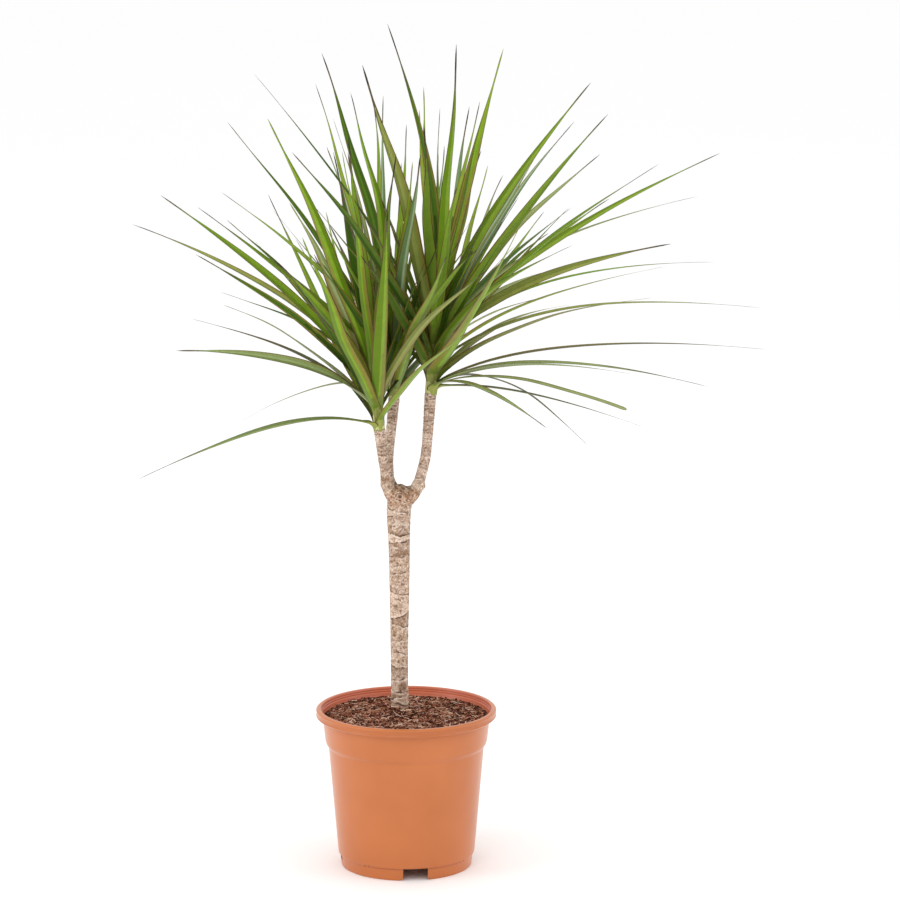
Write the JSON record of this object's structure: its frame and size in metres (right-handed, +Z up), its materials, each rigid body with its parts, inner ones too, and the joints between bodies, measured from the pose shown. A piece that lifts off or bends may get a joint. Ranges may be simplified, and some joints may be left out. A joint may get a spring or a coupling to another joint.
{
  "type": "potted madagascar dragon tree",
  "caption": "Dragon tree in a round nursery pot: slim bare cane, forked into short limbs, each with a burst of narrow arching sword leaves.",
  "frame": {"origin": "on the floor under the middle of the whole plant's bounding box; the pot's axis is 42.9 mm to its left and 6.1 mm before it", "axes": "+Z up, -Y towards the front seen in the picture, +X to the right as seen from the front"},
  "size_m": [0.5866, 0.644, 0.7948],
  "materials": {
    "pot": "satin terracotta-coloured plastic",
    "soil": "rough fibrous peat",
    "bark": "dull ringed bark",
    "leaves": "satin leaf"
  },
  "bodies": {
    "root": {"pot": "pot", "soil": "soil", "trunk": "bark", "limb_left": "bark", "limb_middle": "bark", "limb_right": "bark", "left_head_whorl_1": "leaves", "left_head_whorl_2": "leaves", "left_head_whorl_3": "leaves", "left_head_whorl_4": "leaves", "left_head_whorl_5": "leaves", "middle_head_whorl_1": "leaves", "middle_head_whorl_2": "leaves", "middle_head_whorl_3": "leaves", "middle_head_whorl_4": "leaves", "middle_head_whorl_5": "leaves", "right_head_whorl_1": "leaves", "right_head_whorl_2": "leaves", "right_head_whorl_3": "leaves", "right_head_whorl_4": "leaves", "right_head_whorl_5": "leaves", "right_head_whorl_6": "leaves"}
  },
  "joints": []
}
